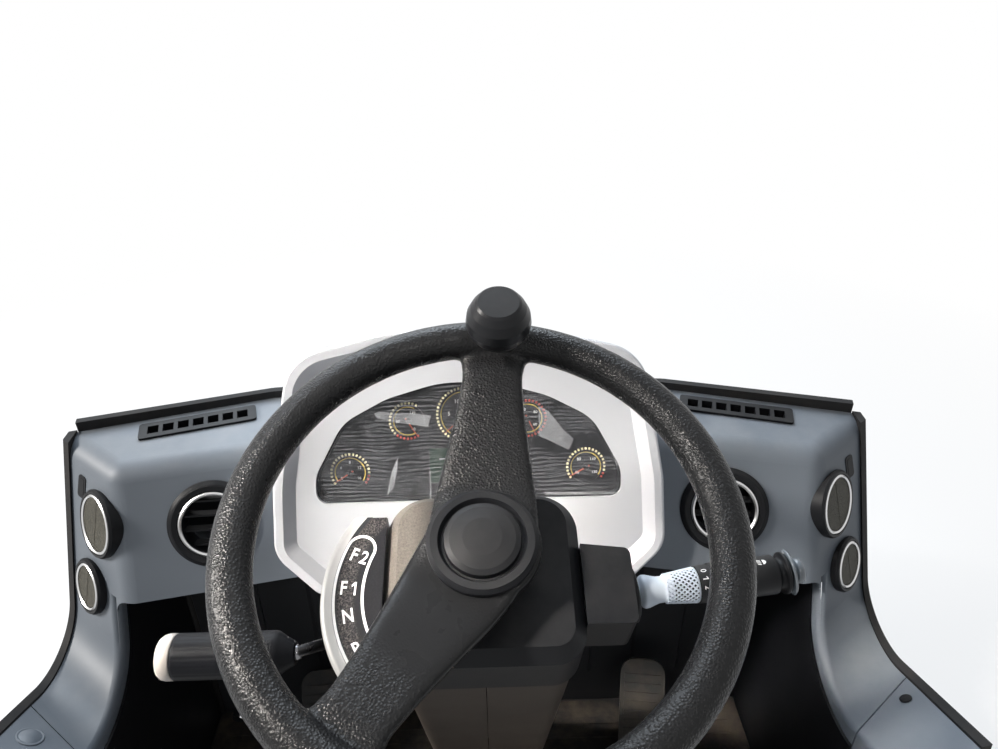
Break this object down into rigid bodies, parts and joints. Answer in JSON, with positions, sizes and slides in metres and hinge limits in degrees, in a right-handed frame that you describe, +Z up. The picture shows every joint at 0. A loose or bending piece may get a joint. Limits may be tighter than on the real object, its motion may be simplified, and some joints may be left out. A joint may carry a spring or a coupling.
{
  "type": "wheel loader operator's console",
  "caption": "Operator's console of a wheel loader: moulded dash with air outlets, instrument hood, tilting column with wheel, shift quadrant and stalk, pedals and floor plate.",
  "frame": {"origin": "middle of the four floor bolts, on the underside of the floor plate", "axes": "+X to the operator's right, +Y ahead to the windscreen, +Z up"},
  "size_m": [1.0734, 0.6722, 0.8935],
  "materials": {
    "frame_paint": "satin black paint",
    "bright_steel": "ground steel",
    "mat_rubber": "ribbed rubber",
    "seal_rubber": "smooth rubber",
    "pedal_rubber": "ribbed rubber over steel",
    "dash_plastic": "fine grained blue-grey plastic",
    "hood_plastic": "light grey satin plastic",
    "black_plastic": "fine grained black plastic",
    "cover_plastic": "satin charcoal plastic",
    "dial_black": "printed black face",
    "pod_silver": "silver grey satin plastic",
    "wheel_skin": "pebbled soft black skin",
    "knob_gloss": "smooth black plastic",
    "bright_ring": "bright plated plastic",
    "lens": "clear smoked lens"
  },
  "bodies": {
    "console": {"floor_plate": "frame_paint", "floor_mat": "mat_rubber", "dash_shell": "dash_plastic", "kick_panel": "frame_paint", "footwell_lining_right": "black_plastic", "footwell_lining_left": "black_plastic", "knee_panel": "black_plastic", "cross_beam": "frame_paint", "windscreen_seal": "seal_rubber", "side_trim_right": "dash_plastic", "side_trim_left": "dash_plastic", "side_seal_right": "seal_rubber", "side_seal_left": "seal_rubber", "defroster_right": "black_plastic", "defroster_left": "black_plastic", "vent_front_right": "black_plastic", "vent_front_left": "black_plastic", "ring_front_right": "bright_ring", "ring_front_left": "bright_ring", "vent_upper_right": "black_plastic", "vent_upper_left": "black_plastic", "ring_upper_right": "bright_ring", "ring_upper_left": "bright_ring", "vent_lower_right": "black_plastic", "vent_lower_left": "black_plastic", "ring_lower_right": "bright_ring", "ring_lower_left": "bright_ring", "binnacle_hood": "hood_plastic", "cluster_housing": "black_plastic", "cluster_dial": "dial_black", "cluster_lens": "lens", "column_bracket": "frame_paint", "brake_foot": "frame_paint", "throttle_foot": "frame_paint"},
    "column": {"column_tube": "frame_paint", "column_head": "black_plastic", "column_cover_right": "cover_plastic", "column_cover_left": "cover_plastic", "shift_pod": "pod_silver", "shift_scale": "dial_black", "switch_pod": "black_plastic"},
    "wheel": {"steering_shaft": "bright_steel", "steering_wheel": "wheel_skin", "horn_cap": "black_plastic"},
    "knob": {"spinner_knob": "knob_gloss"},
    "shifter": {"shift_lever": "knob_gloss"},
    "stalk_arm": {"stalk": "black_plastic"},
    "brake": {"brake_pedal": "pedal_rubber"},
    "throttle": {"throttle_pedal": "pedal_rubber"}
  },
  "joints": [
    {"name": "column_tilt", "type": "hinge", "parent": "console", "child": "column", "pos_m": [0.016, 0.10638, 0.07682], "axis": [1, 0, 0], "range_deg": [-3, 12]},
    {"name": "steering_turn", "type": "hinge", "parent": "column", "child": "wheel", "pos_m": [0.016, -0.178, 0.76], "axis": [0, -0.3843, 0.9232], "continuous": true},
    {"name": "knob_spin", "type": "hinge", "parent": "wheel", "child": "knob", "pos_m": [0.03327, -0.03909, 0.86115], "axis": [0, -0.3843, 0.9232], "continuous": true},
    {"name": "shift_swing", "type": "hinge", "parent": "column", "child": "shifter", "pos_m": [-0.082, -0.17699, 0.65427], "axis": [0, -0.3843, 0.9232], "range_deg": [-35, 17]},
    {"name": "stalk_swing", "type": "hinge", "parent": "column", "child": "stalk_arm", "pos_m": [0.118, -0.15603, 0.66299], "axis": [0, -0.3843, 0.9232], "range_deg": [-10, 10]},
    {"name": "brake_press", "type": "hinge", "parent": "console", "child": "brake", "pos_m": [-0.212, 0.092, 0.036], "axis": [0.9976, 0.0698, 0], "range_deg": [-14, 0], "stiffness_Nm_per_rad": 10, "springref_deg": 8.59},
    {"name": "throttle_press", "type": "hinge", "parent": "console", "child": "throttle", "pos_m": [0.248, 0.092, 0.036], "axis": [0.9903, -0.1392, 0], "range_deg": [-14, 0], "stiffness_Nm_per_rad": 10, "springref_deg": 8.59}
  ]
}
